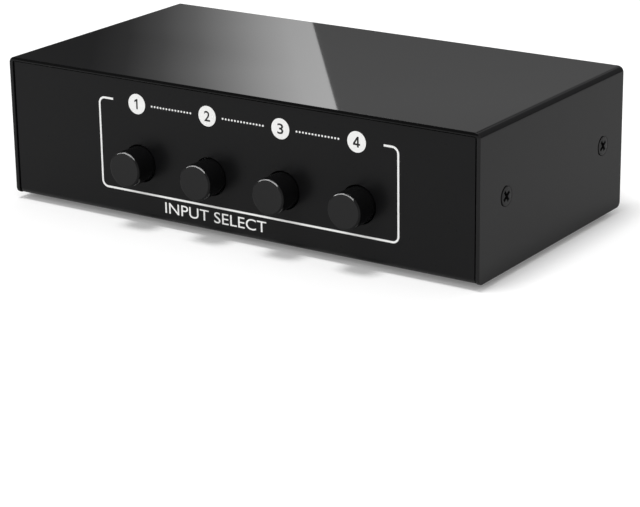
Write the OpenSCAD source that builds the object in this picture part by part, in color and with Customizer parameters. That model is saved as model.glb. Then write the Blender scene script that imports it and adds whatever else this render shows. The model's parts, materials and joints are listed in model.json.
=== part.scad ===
// Audio source selector: four stereo inputs and one output in a folded sheet metal case.
// Interlocked push buttons at the front (-Y), phono and 3.5 mm sockets at the rear (+Y).
// Millimetres, +Z up. The origin is the middle of the footprint, on the surface it stands on.

/* [Case] */
// Width of the case
case_w = 137; // [124:1:160]
// Depth of the case, front edge to rear edge
case_d = 70; // [66:1:100]
// Height of the case, without the feet
case_h = 36; // [34:0.5:50]
// Thickness of the sheet metal
sheet_t = 1; // [0.8:0.1:1.3]
// Outer radius of the folds
bend_r = 1.6; // [1.4:0.1:2.4]
// Radius of the lower corners of the cover's sides
corner_r = 1.5; // [0.5:0.1:4]
// Gap between a panel and the cover around it
groove = 0.4; // [0.2:0.05:0.8]
// How far the panels lie behind the cover's edges
panel_recess = 0.3; // [0.1:0.05:1]

/* [Cover screws] */
// Distance of the front cover screws from the case's front edge
front_screw_inset = 12.2; // [9:0.1:16]
// Distance of the rear cover screws from the case's rear edge
rear_screw_inset = 10.2; // [9:0.1:16]
// Height of the cover screws above the underside of the case
side_screw_z = 18.2; // [14:0.1:22]
// Head diameter of the cover screws
side_screw_head = 5.3; // [4.8:0.1:6]
// Length of the cover screws
side_screw_len = 6; // [4:0.5:7]
// Width of the chassis tabs that take the cover screws
tab_w = 10; // [8:0.5:14]

/* [Feet] */
// Diameter of a rubber foot
foot_d = 8; // [6:0.5:12]
// Height of a rubber foot
foot_h = 1.5; // [1:0.1:4]
// Distance of a foot's centre from the case's edges
foot_inset = 10; // [7:0.5:20]

/* [Buttons] */
// Diameter of a button
button_d = 9; // [7.5:0.1:11]
// How far a button stands out past the case's front edge
button_out = 6; // [5:0.1:10]
// Distance between neighbouring buttons
button_pitch = 21.3; // [19:0.1:22]
// Height of the buttons above the underside of the case
button_z = 14; // [13.5:0.1:18]
// Offset of the row of buttons to the right of the middle
button_shift = 4; // [-4:0.5:4.5]
// Radius of a button's front edge
button_edge = 0.6; // [0.2:0.1:1.2]
// Travel of a button
travel = 4; // [3.5:0.1:5]

/* [Phono sockets] */
// Distance of the outer groups of sockets from the case's sides
group_margin = 6.25; // [5:0.05:9]
// Offset of the phono sockets from the middle of their group
phono_dx = 5.25; // [4.8:0.05:6]
// Height of the lower phono socket above the underside of the case
phono_z = 12.3; // [11.8:0.1:13.5]
// Height of the upper phono socket above the lower one
phono_rise = 13.5; // [12.5:0.1:15]
// Outer diameter of the metal shell
shell_d = 8.3; // [8:0.05:8.6]
// Wall of the metal shell
shell_wall = 0.45; // [0.35:0.05:0.6]
// How much smaller in radius the shell is where its block holds it
shell_step = 0.2; // [0.16:0.02:0.24]
// How far a shell stands out past the case's rear edge
shell_out = 7; // [6:0.1:10]
// Diameter of the plastic collar around a shell
collar_d = 10; // [9.6:0.1:10.6]
// How far the collar stands out from the panel
collar_out = 1; // [0.5:0.1:1.5]
// Width of the rim around the collar's dished face
collar_rim = 0.5; // [0.4:0.05:0.6]
// Depth of the collar's dished face
collar_dip = 0.6; // [0.2:0.1:1]
// Diameter of the hole for the plug's pin
pin_hole_d = 3.4; // [3.3:0.05:3.6]
// Depth of the hole for the plug's pin, down to the contact
pin_hole_len = 5.5; // [4:0.5:8]
// How far the white insert lies inside the shell's rim
white_recess = 0.3; // [0.1:0.1:1]
// How far the red insert lies inside the shell's rim
red_recess = 0.7; // [0.1:0.1:1.5]
// Depth of a socket block behind the panel
block_depth = 12; // [10:0.5:14]

/* [Socket screws] */
// Offset of a socket screw from the middle of its group
block_screw_dx = -0.85; // [-1.5:0.05:-0.5]
// Head diameter of a socket screw
block_screw_head = 4.9; // [4.5:0.1:5.4]
// Height of a socket screw's head
block_screw_head_h = 1.5; // [1.2:0.1:2]
// Length of a socket screw under its head
block_screw_len = 8; // [6:0.5:10]

/* [Small jacks] */
// Offset of a small jack from the middle of its group
jack_dx = -6.15; // [-6.6:0.05:-5.9]
// Height of the small jacks above the underside of the case
jack_z = 8.5; // [8:0.1:9]
// Diameter of the hole for a 3.5 mm plug
jack_hole_d = 3.6; // [3.55:0.05:3.7]
// Outer diameter of the metal ring
ferrule_d = 4.9; // [4.6:0.1:5.2]
// Diameter of the jack's barrel
barrel_d = 6.2; // [5.8:0.1:6.6]
// How far the barrel stands out from the panel
barrel_out = 1; // [0.5:0.1:2]
// Depth of a jack's body behind the panel
jack_depth = 12; // [10:0.5:14]
// Width of a jack's body
jack_w = 7; // [6.8:0.1:7.4]
// Height of a jack's body
jack_h = 5.2; // [5:0.1:5.6]

/* [Board and switch] */
// Thickness of the circuit board
board_t = 1.6; // [1.2:0.1:2]
// Thickness of the switch frame's sheet
frame_t = 1; // [0.8:0.1:1.2]
// Width and height of a switch body
switch_s = 12; // [11:0.1:12.6]
// Diameter of a plunger's rod
rod_d = 3.6; // [3:0.1:4]
// Diameter of the collar that the lock bar catches
catch_d = 5.6; // [5:0.1:6]
// Length of a return spring with the button out
spring_len = 6.2; // [6:0.1:8]
// Sideways travel of the lock bar
lock_travel = 1.2; // [0.8:0.1:1.5]
// Length of the lock bar's spring at rest
lock_spring_len = 6; // [5:0.1:7]

/* [Clearances] */
// Gap around a button in the front panel
button_clear = 0.3; // [0.2:0.05:0.5]
// Gap around a socket or screw in a panel or board
hole_clear = 0.1; // [0.05:0.05:0.2]
// Gap of a pressed or screwed joint
fit = 0.02; // [0.01:0.01:0.04]
// Gap of a sliding rod in its hole
slide_clear = 0.08; // [0.05:0.01:0.1]
// Gap between pieces that pass each other
pass_clear = 0.3; // [0.2:0.05:0.4]

/* [Hidden] */
$fn = 64;

// Groups of sockets from left to right, seen from the rear
cells = ["in_4", "in_3", "in_2", "in_1", "out"];
station_count = 4;
stations = [1:station_count];
mid_cell = (len(cells) - 1) / 2;
mid_station = (station_count + 1) / 2;

// Planes of the case
front_y = (button_out - case_d - shell_out) / 2;
rear_y = front_y + case_d;
base_z = foot_h;
floor_z = base_z + sheet_t;
panel_top_z = base_z + case_h - sheet_t - groove;
front_face_y = front_y + panel_recess;
rear_face_y = rear_y - panel_recess;
rear_inner_y = rear_face_y - sheet_t;
panel_w = case_w - 2 * (sheet_t + groove);

// Tabs of the chassis lie just inside the cover's sides
tab_x = case_w / 2 - sheet_t - hole_clear;
tab_over = 5;
side_shank_d = 2.9;
side_screw_ys = [front_y + front_screw_inset, rear_y - rear_screw_inset];

// Screwdriver recess of every screw
recess_w = 2.9;
recess_slot = 0.6;
recess_floor = 0.3;

// Circuit board, on standoffs that set the small jacks at their height
board_top_z = base_z + jack_z - jack_h / 2;
board_edge = 1;
board_setback = 3;
board_w = 2 * (tab_x - sheet_t - board_edge);
board_front_y = front_face_y + sheet_t + board_setback;
board_back_y = rear_inner_y - board_edge;
standoff_d = 6;
board_shank_d = 2.9;
board_screw_len = 4;
board_head_d = 5.4;
board_head_h = 1.8;

// Phono sockets
cell_pitch = (case_w - 2 * group_margin) / len(cells);
block_rim = 0.5;
block_w = collar_d + 2 * block_rim;
lug_w = 7;
shell_grip = 5;
rim_y = rear_y + shell_out;
shell_back_y = rear_inner_y - shell_grip;
shell_len = rim_y - shell_back_y;
collar_face_y = rear_face_y + collar_out;
insert_d = shell_d - 2 * (shell_wall + fit);
contact_d = 4.4;
contact_hole_d = 3;
contact_tail = 1;
lug_strip_w = 1.6;
lug_strip_t = 0.6;
block_shank_d = 2.9;
block_screw_z = phono_z + phono_rise / 2;
phono_heights = [phono_z, phono_z + phono_rise];

// Small jacks
ferrule_len = 2;
ferrule_proud = 0.2;
jack_mouth_y = rear_face_y + barrel_out;
jack_back_wall = 1;
jack_hole_len = jack_mouth_y - rear_inner_y + jack_depth - jack_back_wall;
leaf_t = 0.3;
leaf_len = 7;
leaf_tail = 2;
leaf_gap = 0.6;
leaf_x = jack_hole_d / 2 + leaf_gap + leaf_t / 2;
leaf_y = rear_inner_y - jack_depth / 2;

// Push switches, from the button's back end to the rear of the switch body
button_axis_z = base_z + button_z;
cap_depth = 4;
cap_back_y = front_y + cap_depth;
stub_len = 6;
shoulder_d = 7;
shoulder_t = 0.8;
frame_y = cap_back_y + shoulder_t + spring_len;
catch_lead = 0.5;
catch_len = 2;
bar_t = 1;
end_room = 1;
frame_d = 2 * frame_t + catch_lead + catch_len + travel + end_room;
bar_y = frame_y + frame_t + catch_lead + catch_len + pass_clear;
guide_len = 8;
switch_back = 8;
switch_y = frame_y + frame_d;
switch_len = guide_len + travel + switch_back;
frame_bottom_z = button_axis_z - switch_s / 2 - frame_t;
frame_top_z = button_axis_z + switch_s / 2;

// Lock bar and the ends of the switch frame
window_half = catch_d / 2 + pass_clear;
bar_rim = 1.3;
bar_h = 2 * (window_half + bar_rim);
tongue_h = 2.4;
row_half = (station_count - 1) / 2 * button_pitch;
bar_end_x = row_half + window_half + bar_rim;
frame_half = bar_end_x + lock_spring_len + frame_t;
bar_poke = 3;
foot_tab = 9;
lock_spring_d = 4.2;
lock_wire = 0.35;
lock_turns = 6;

// Return springs
spring_d = 5.2;
spring_wire = 0.35;
spring_turns = 4;

// Terminals
pin_d = 0.8;
pin_below = 1;
pin_pitch = 4;

board_screw_xs = frame_half + foot_tab / 2;
rear_screw_x = board_w / 2 - standoff_d;
rear_screw_y = rear_inner_y - block_depth - standoff_d;
front_screw_y = frame_y + frame_d / 2;

function station_x(i) = button_shift + (i - mid_station) * button_pitch;
function cell_x(k) = (mid_cell - k) * cell_pitch;
function names(stem) = [for (c = cells) str(stem, "_", c)];
function numbered(stem) = [for (i = stations) str(stem, "_", i)];

// Outline of a sheet folded down at both sides, standing on the X axis
module folded_outline(w, h, r) {
    translate([-w / 2, 0])
        square([w, h - r]);
    translate([-w / 2 + r, 0])
        square([w - 2 * r, h]);
    for (s = [-1, 1])
        translate([s * (w / 2 - r), h - r])
            circle(r);
}

// Sheet folded down at both sides: the outline less the space inside it
module folded_sheet(w, h) {
    difference() {
        folded_outline(w, h, bend_r);
        translate([0, -sheet_t])
            folded_outline(w - 2 * sheet_t, h, bend_r - sheet_t);
    }
}

// Cylinder along +Y from a point
module rod_y(d, l) {
    rotate([-90, 0, 0])
        cylinder(d = d, h = l);
}

// Tube along +Y from a point
module tube_y(d, hole, l) {
    rotate([-90, 0, 0])
        rotate_extrude()
            translate([hole / 2, 0])
                square([(d - hole) / 2, l]);
}

// Crossed slots of a screwdriver recess, open at the top of the XY plane
module cross_recess(depth) {
    for (a = [0, 90])
        rotate(a)
            translate([-recess_w / 2, -recess_slot / 2, -depth])
                cube([recess_w, recess_slot, 2 * depth]);
}

// Screw with a rounded head above the XY plane and its shank below
module pan_screw(head_d, head_h, shank_d, shank_len) {
    round_r = head_h / 2;
    difference() {
        union() {
            rotate_extrude() {
                square([head_d / 2 - round_r, head_h]);
                square([head_d / 2, head_h - round_r]);
                translate([head_d / 2 - round_r, head_h - round_r])
                    intersection() {
                        circle(round_r);
                        square(round_r);
                    }
            }
            translate([0, 0, -shank_len])
                cylinder(d = shank_d, h = shank_len);
        }
        translate([0, 0, head_h])
            cross_recess(head_h - recess_floor);
    }
}

// Coil spring along +Z: one round wire of six sides, eight rings to the turn
module coil(outer_d, wire, length, turns) {
    sides = 6;
    rings = turns * 8;
    r = (outer_d - wire) / 2;
    rise = length - wire;
    slope = atan2(rise / turns, 2 * PI * r);
    points = [
        for (i = [0:rings], j = [0:sides - 1])
            let (a = 360 * turns * i / rings, b = 360 * j / sides)
            let (out = r + wire / 2 * cos(b), side = wire / 2 * sin(b))
            [
                out * cos(a) - side * sin(slope) * sin(a),
                out * sin(a) + side * sin(slope) * cos(a),
                wire / 2 + rise * i / rings - side * cos(slope)
            ]
    ];
    function at(i, j) = i * sides + j % sides;
    walls = [
        for (i = [0:rings - 1], j = [0:sides - 1], half = [0, 1])
            half == 0
                ? [at(i, j), at(i + 1, j), at(i + 1, j + 1)]
                : [at(i, j), at(i + 1, j + 1), at(i, j + 1)]
    ];
    caps = [
        for (j = [1:sides - 2], end = [0, 1])
            end == 0
                ? [at(0, 0), at(0, j), at(0, j + 1)]
                : [at(rings, 0), at(rings, j + 1), at(rings, j)]
    ];
    polyhedron(points = points, faces = concat(walls, caps));
}

// Top and both sides of the case, folded from one sheet
module top_cover() {
    color("#303032")
        difference() {
            translate([0, rear_y, base_z])
                rotate([90, 0, 0])
                    linear_extrude(case_d)
                        folded_sheet(case_w, case_h);
            for (y = [front_y, rear_y])
                lower_corner_cut(y, y == front_y ? 1 : -1);
            for (y = side_screw_ys, s = [-1, 1])
                translate([s * case_w / 2, y, base_z + side_screw_z])
                    rotate([0, s * 90, 0])
                        countersink();
        }
}

// Waste outside the rounded lower corner of both sides, at the edge y
module lower_corner_cut(y, inward) {
    difference() {
        translate([-case_w, y - corner_r, base_z - corner_r])
            cube([2 * case_w, 2 * corner_r, 2 * corner_r]);
        translate([-2 * case_w, y + inward * corner_r, base_z + corner_r])
            rotate([0, 90, 0])
                cylinder(r = corner_r, h = 4 * case_w);
        translate([-2 * case_w, inward > 0 ? y + corner_r : y - 2 * corner_r, base_z - 2 * corner_r])
            cube([4 * case_w, corner_r, 4 * corner_r]);
        translate([-2 * case_w, y - 2 * corner_r, base_z + corner_r])
            cube([4 * case_w, 4 * corner_r, corner_r]);
    }
}

// Cone of a cover screw's head, its top on the XY plane
module screw_cone(grow) {
    translate([0, 0, -sheet_t])
        cylinder(d1 = side_shank_d + 2 * grow, d2 = side_screw_head + 2 * grow, h = sheet_t);
}

// Countersunk hole through the cover's side
module countersink() {
    screw_cone(hole_clear);
    translate([0, 0, -2 * sheet_t])
        cylinder(d = side_shank_d + 2 * hole_clear, h = 4 * sheet_t);
}

// Flush screws through the cover's sides into the chassis tabs
module cover_screws() {
    color("#141414")
        for (y = side_screw_ys, s = [-1, 1])
            translate([s * case_w / 2, y, base_z + side_screw_z])
                rotate([0, s * 90, 0])
                    difference() {
                        union() {
                            screw_cone(0);
                            translate([0, 0, -side_screw_len])
                                cylinder(d = side_shank_d, h = side_screw_len - sheet_t);
                        }
                        cross_recess(sheet_t - recess_floor);
                    }
}

// Floor, front panel and rear panel, folded from one sheet, with tabs for the cover
module chassis() {
    color("#242426")
        difference() {
            union() {
                translate([-panel_w / 2, (front_face_y + rear_face_y) / 2, panel_top_z])
                    rotate([90, 0, 90])
                        linear_extrude(panel_w)
                            mirror([0, 1])
                                folded_sheet(rear_face_y - front_face_y, panel_top_z - base_z);
                for (y = side_screw_ys, s = [-1, 1])
                    cover_tab(y, s);
            }
            button_holes();
            socket_holes();
            for (y = side_screw_ys)
                translate([-case_w, y, base_z + side_screw_z])
                    rotate([0, 90, 0])
                        cylinder(d = side_shank_d + 2 * fit, h = 2 * case_w);
        }
}

// Tab that stands up from the floor's side edge behind a cover screw
module cover_tab(y, s) {
    foot_x = panel_w / 2 - sheet_t;
    tab_h = side_screw_z + tab_over;
    mirror([s < 0 ? 1 : 0, 0, 0]) {
        translate([tab_x - sheet_t, y - tab_w / 2, base_z])
            cube([sheet_t, tab_w, tab_h]);
        translate([foot_x, y - tab_w / 2, base_z])
            cube([tab_x - foot_x, tab_w, sheet_t]);
    }
}

// Holes in the front panel that the buttons pass through
module button_holes() {
    for (i = stations)
        translate([station_x(i), front_y - sheet_t, button_axis_z])
            rod_y(button_d + 2 * button_clear, 3 * sheet_t + panel_recess);
}

// Holes in the rear panel for the sockets and their screws
module socket_holes() {
    depth = 3 * sheet_t;
    for (k = [0:len(cells) - 1])
        translate([cell_x(k), rear_face_y - 2 * sheet_t, base_z]) {
            for (z = phono_heights)
                translate([phono_dx, 0, z])
                    rod_y(collar_d + 2 * hole_clear, depth);
            translate([block_screw_dx, 0, block_screw_z])
                rod_y(block_shank_d + 2 * hole_clear, depth);
            translate([jack_dx, 0, jack_z])
                rod_y(barrel_d + 2 * hole_clear, depth);
        }
}

// Feet stuck under the floor
module rubber_feet() {
    color("#1c1c1c")
        for (x = [-1, 1] * (case_w / 2 - foot_inset))
            for (y = [front_y + foot_inset, rear_y - foot_inset])
                translate([x, y, 0])
                    cylinder(d = foot_d, h = foot_h);
}

// Places of the screws that hold the board, with the height of what lies on it there
function board_screw_places() = [
    [button_shift - board_screw_xs, front_screw_y, frame_t],
    [button_shift + board_screw_xs, front_screw_y, frame_t],
    [-rear_screw_x, rear_screw_y, 0],
    [rear_screw_x, rear_screw_y, 0]
];

// Circuit board that carries the sockets and the switches
module main_board() {
    color("#1f5a36")
        difference() {
            translate([-board_w / 2, board_front_y, board_top_z - board_t])
                cube([board_w, board_back_y - board_front_y, board_t]);
            for (p = board_screw_places())
                translate([p.x, p.y, board_top_z - 2 * board_t])
                    cylinder(d = board_shank_d + 2 * hole_clear, h = 3 * board_t);
            terminal_pins(pin_d + 2 * hole_clear);
            jack_leaf_tails(hole_clear);
            phono_lugs(hole_clear);
        }
}

// Threaded standoffs pressed into the floor
module board_standoffs() {
    standoff_h = board_top_z - board_t - floor_z;
    color("#b8b8ba")
        for (p = board_screw_places())
            translate([p.x, p.y, floor_z])
                difference() {
                    cylinder(d = standoff_d, h = standoff_h);
                    translate([0, 0, -standoff_h])
                        cylinder(d = board_shank_d + 2 * fit, h = 3 * standoff_h);
                }
}

// Screws through the board, the front pair also through the switch frame's feet
module board_screws() {
    color("#c4c4c6")
        for (p = board_screw_places())
            translate([p.x, p.y, board_top_z + p.z])
                pan_screw(board_head_d, board_head_h, board_shank_d, board_screw_len);
}

// Black body of a pair of phono sockets, with collars through the rear panel
module phono_block(k) {
    x = cell_x(k) + phono_dx;
    screw_x = cell_x(k) + block_screw_dx;
    top_z = base_z + phono_z + phono_rise + block_w / 2;
    color("#1a1a1b")
        difference() {
            union() {
                translate([x - block_w / 2, rear_inner_y - block_depth, board_top_z])
                    cube([block_w, block_depth, top_z - board_top_z]);
                translate([screw_x, rear_inner_y - block_depth, base_z + block_screw_z])
                    translate([-lug_w / 2, 0, -lug_w / 2])
                        cube([x - screw_x + lug_w / 2, block_depth, lug_w]);
                for (z = phono_heights)
                    translate([x, rear_inner_y, base_z + z])
                        rod_y(collar_d, collar_face_y - rear_inner_y);
            }
            for (z = phono_heights) {
                translate([x, shell_back_y, base_z + z])
                    rod_y(shell_d + 2 * (fit - shell_step), shell_len);
                translate([x, rear_inner_y - 2 * block_depth, base_z + z])
                    rod_y(contact_d + 2 * fit, 2 * block_depth);
                translate([x, collar_face_y - collar_dip, base_z + z])
                    rod_y(collar_d - 2 * collar_rim, 2 * collar_dip);
            }
            translate([screw_x, rear_face_y - block_screw_len - fit, base_z + block_screw_z])
                rod_y(block_shank_d + 2 * fit, block_screw_len);
        }
}

// Plated shells of a pair of phono sockets, with a rounded rim and a step on the collar's face
module phono_shells(k) {
    mid_r = (shell_d - shell_wall) / 2;
    held_len = collar_face_y - shell_back_y;
    color("#c9c7c2")
        for (z = phono_heights)
            translate([cell_x(k) + phono_dx, shell_back_y, base_z + z])
                rotate([-90, 0, 0])
                    rotate_extrude() {
                        translate([shell_d / 2 - shell_wall, 0])
                            square([shell_wall - shell_step, shell_len - shell_wall / 2]);
                        translate([shell_d / 2 - shell_wall, held_len])
                            square([shell_wall, shell_len - held_len - shell_wall / 2]);
                        translate([mid_r, shell_len - shell_wall / 2])
                            circle(shell_wall / 2);
                    }
}

// Coloured insulator in a shell, bored for the pin and the contact behind it
module phono_insert(k, z, recess) {
    len_y = shell_len - recess;
    translate([cell_x(k) + phono_dx, shell_back_y, base_z + z])
        difference() {
            rod_y(insert_d, len_y);
            translate([0, len_y - 2 * pin_hole_len, 0])
                rod_y(pin_hole_d, 3 * pin_hole_len);
            translate([0, -pin_hole_len, 0])
                rod_y(contact_d + 2 * fit, len_y);
        }
}

// Insulator of the upper socket
module white_insert(k) {
    color("#e9e7e2")
        phono_insert(k, phono_heights[1], white_recess);
}

// Insulator of the lower socket
module red_insert(k) {
    color("#b3201f")
        phono_insert(k, phono_heights[0], red_recess);
}

// Rear end of a phono contact: the upper one reaches further back, so that its lug passes the lower one
function contact_start_y(row) =
    rear_inner_y - block_depth - contact_tail - row * (contact_tail + pass_clear);

// Sprung sleeves behind the inserts, closed at the soldered end
module phono_contacts() {
    color("#b8913f") {
        for (k = [0:len(cells) - 1], row = [0, 1]) {
            recess = row == 0 ? red_recess : white_recess;
            start_y = contact_start_y(row);
            end_y = rim_y - recess - pin_hole_len;
            translate([cell_x(k) + phono_dx, start_y, base_z + phono_heights[row]])
                difference() {
                    rod_y(contact_d, end_y - start_y);
                    translate([0, rear_inner_y - block_depth + contact_tail - start_y, 0])
                        rod_y(contact_hole_d, end_y - start_y);
                }
        }
        phono_lugs(0);
    }
}

// Solder lugs from the rear ends of the phono contacts down through the board, larger all round by grow
module phono_lugs(grow) {
    low_z = board_top_z - board_t - pin_below;
    for (k = [0:len(cells) - 1], row = [0, 1])
        translate([cell_x(k) + phono_dx - lug_strip_w / 2, contact_start_y(row), low_z])
            translate(-grow * [1, 1, 1])
                cube([lug_strip_w, lug_strip_t, base_z + phono_heights[row] - low_z] + 2 * grow * [1, 1, 1]);
}

// Screws between the sockets that hold the blocks to the rear panel
module socket_screws() {
    color("#141414")
        for (k = [0:len(cells) - 1])
            translate([cell_x(k) + block_screw_dx, rear_face_y, base_z + block_screw_z])
                rotate([-90, 0, 0])
                    pan_screw(block_screw_head, block_screw_head_h, block_shank_d, block_screw_len);
}

// Black body of a 3.5 mm jack with its barrel through the rear panel
module jack_body(k) {
    color("#1a1a1b")
        difference() {
            union() {
                translate([cell_x(k) + jack_dx - jack_w / 2, rear_inner_y - jack_depth, board_top_z])
                    cube([jack_w, jack_depth, jack_h]);
                translate([cell_x(k) + jack_dx, rear_inner_y, base_z + jack_z])
                    rod_y(barrel_d, jack_mouth_y - rear_inner_y);
            }
            translate([cell_x(k) + jack_dx, jack_mouth_y - jack_hole_len, base_z + jack_z])
                rod_y(jack_hole_d, 2 * jack_hole_len);
            translate([cell_x(k) + jack_dx, jack_mouth_y - ferrule_len - fit, base_z + jack_z])
                rod_y(ferrule_d + 2 * fit, 2 * ferrule_len);
            jack_leaves(k, hole_clear);
        }
}

// Plated ring in the mouth of a 3.5 mm jack
module jack_ring(k) {
    color("#d2d1cd")
        translate([cell_x(k) + jack_dx, jack_mouth_y - ferrule_len, base_z + jack_z])
            tube_y(ferrule_d, jack_hole_d, ferrule_len + ferrule_proud);
}

// Contact leaves beside the hole of one jack, larger all round by grow
module jack_leaves(k, grow) {
    leaf_top_z = base_z + jack_z + leaf_tail / 2;
    for (s = [-1, 1])
        translate([cell_x(k) + jack_dx + s * leaf_x, leaf_y, board_top_z])
            translate([-leaf_t / 2 - grow, -leaf_len / 2 - grow, -grow])
                cube([leaf_t + 2 * grow, leaf_len + 2 * grow, leaf_top_z - board_top_z + 2 * grow]);
}

// Soldered tails of the contact leaves, through the board
module jack_leaf_tails(grow) {
    tail_h = board_t + pin_below;
    for (k = [0:len(cells) - 1], s = [-1, 1])
        translate([cell_x(k) + jack_dx + s * leaf_x, leaf_y, board_top_z - tail_h])
            translate([-leaf_t / 2 - grow, -leaf_tail / 2 - grow, -grow])
                cube([leaf_t + 2 * grow, leaf_tail + 2 * grow, tail_h + 2 * grow]);
}

// Contact leaves of all the small jacks
module jack_contacts() {
    color("#b8913f") {
        for (k = [0:len(cells) - 1])
            jack_leaves(k, 0);
        jack_leaf_tails(0);
    }
}

// Steel tray that carries the switches, the plungers and the lock bar
module switch_frame() {
    tray_w = 2 * frame_half;
    color("#a9abad")
        difference() {
            union() {
                translate([button_shift - frame_half, frame_y, frame_bottom_z])
                    cube([tray_w, frame_d, frame_top_z - frame_bottom_z]);
                for (s = [-1, 1])
                    translate([button_shift + s * (frame_half - frame_t / 2), frame_y + frame_d / 2, 0])
                        frame_leg(s);
            }
            translate([button_shift - frame_half + frame_t, frame_y + frame_t, frame_bottom_z + frame_t])
                cube([tray_w - 2 * frame_t, frame_d - 2 * frame_t, frame_top_z - frame_bottom_z]);
            for (i = stations)
                translate([station_x(i), frame_y - frame_d, button_axis_z])
                    rod_y(rod_d + 2 * slide_clear, 3 * frame_d);
            bar_slot(-2 * frame_half, bar_h);
            bar_slot(0, tongue_h);
        }
}

// Slot for the lock bar through one end wall of the tray
module bar_slot(start_x, height) {
    slot_h = height + 2 * slide_clear;
    translate([button_shift + start_x, bar_y - slide_clear, button_axis_z - slot_h / 2])
        cube([2 * frame_half, bar_t + 2 * slide_clear, slot_h]);
}

// End wall of the tray down to the board, with a screwed foot
module frame_leg(s) {
    translate([-frame_t / 2, -frame_d / 2, board_top_z])
        cube([frame_t, frame_d, frame_bottom_z - board_top_z + frame_t]);
    difference() {
        translate([s > 0 ? 0 : -foot_tab, -frame_d / 2, board_top_z])
            cube([foot_tab, frame_d, frame_t]);
        translate([s * (foot_tab + frame_t) / 2, 0, board_top_z - frame_t])
            cylinder(d = board_shank_d + 2 * hole_clear, h = 3 * frame_t);
    }
}

// Body of one push switch, riveted behind the tray
module switch_body(i) {
    color("#20201f")
        difference() {
            translate([station_x(i) - switch_s / 2, switch_y, button_axis_z - switch_s / 2])
                cube([switch_s, switch_len, switch_s]);
            translate([station_x(i), switch_y - travel, button_axis_z])
                rod_y(rod_d + 2 * slide_clear, guide_len + 2 * travel + end_room);
        }
}

// Sliding rod of one push switch, with a shoulder for the spring and a collar for the lock bar
module plunger(i) {
    color("#d8d5c8")
        translate([station_x(i), 0, button_axis_z]) {
            translate([0, cap_back_y - stub_len, 0])
                rod_y(rod_d, switch_y + guide_len - cap_back_y + stub_len);
            translate([0, cap_back_y, 0])
                rod_y(shoulder_d, shoulder_t);
            translate([0, frame_y + frame_t + catch_lead, 0])
                rotate([-90, 0, 0])
                    catch_collar();
        }
}

// Collar with a square front face and a cone that leads into the lock bar
module catch_collar() {
    cylinder(d = catch_d, h = catch_len / 2);
    translate([0, 0, catch_len / 2])
        cylinder(d1 = catch_d, d2 = rod_d, h = catch_len / 2);
}

// Spring that pushes one button out
module return_spring(i) {
    color("#c0c0c2")
        translate([station_x(i), cap_back_y + shoulder_t + slide_clear, button_axis_z])
            rotate([-90, 0, 0])
                coil(spring_d, spring_wire, spring_len - 2 * slide_clear, spring_turns);
}

// Round button, hollow at the back for the plunger
module button(i) {
    cap_len = button_out + cap_depth;
    color("#2a2a2b")
        translate([station_x(i), cap_back_y, button_axis_z])
            rotate([90, 0, 0])
                difference() {
                    rotate_extrude() {
                        square([button_d / 2 - button_edge, cap_len]);
                        square([button_d / 2, cap_len - button_edge]);
                        translate([button_d / 2 - button_edge, cap_len - button_edge])
                            intersection() {
                                circle(button_edge);
                                square(button_edge);
                            }
                    }
                    translate([0, 0, -stub_len])
                        cylinder(d = rod_d + 2 * fit, h = 2 * stub_len + fit);
                }
}

// Bar that slides sideways to hold one plunger in and let the others out
module lock_bar() {
    color("#c2c4c6")
        difference() {
            union() {
                translate([button_shift - frame_half - bar_poke, bar_y, button_axis_z - bar_h / 2])
                    cube([frame_half + bar_poke + bar_end_x, bar_t, bar_h]);
                translate([button_shift, bar_y, button_axis_z - tongue_h / 2])
                    cube([frame_half + bar_poke, bar_t, tongue_h]);
            }
            for (i = stations)
                translate([station_x(i), bar_y - bar_t, button_axis_z - window_half])
                    translate([-window_half - lock_travel, 0, 0])
                        cube([2 * window_half + lock_travel, 3 * bar_t, 2 * window_half]);
        }
}

// Spring around the lock bar's tongue, inside the end of the tray
module lock_spring() {
    color("#c0c0c2")
        translate([button_shift + bar_end_x + slide_clear, bar_y + bar_t / 2, button_axis_z])
            rotate([0, 90, 0])
                coil(lock_spring_d, lock_wire, lock_spring_len - 2 * slide_clear, lock_turns);
}

// Pins of the push switches, down through the board, thicker or thinner by their diameter
module terminal_pins(d) {
    low_z = board_top_z - board_t - pin_below;
    for (i = stations, s = [-1, 1], n = [0:2])
        translate([station_x(i) + s * pin_pitch, switch_y + pin_pitch * (n + 1), low_z])
            cylinder(d = d, h = frame_bottom_z + frame_t - low_z);
}

// Soldered terminals of the push switches
module switch_terminals() {
    color("#c8b98a")
        terminal_pins(pin_d);
}

top_cover();
chassis();
cover_screws();
rubber_feet();
main_board();
board_standoffs();
board_screws();
phono_contacts();
socket_screws();
jack_contacts();
switch_frame();
lock_bar();
lock_spring();
switch_terminals();
for (k = [0:len(cells) - 1]) {
    phono_block(k);
    phono_shells(k);
    white_insert(k);
    red_insert(k);
    jack_body(k);
    jack_ring(k);
}
for (i = stations) {
    switch_body(i);
    plunger(i);
    return_spring(i);
    button(i);
}
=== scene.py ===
"""Looks of the audio source selector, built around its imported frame.

Lengths are in mm, and on the stage in m, unless a name ends in its own unit.
Angles are written in degrees.
"""

import json
import math

import bmesh
import bpy
from mathutils import Matrix, Vector


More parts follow.
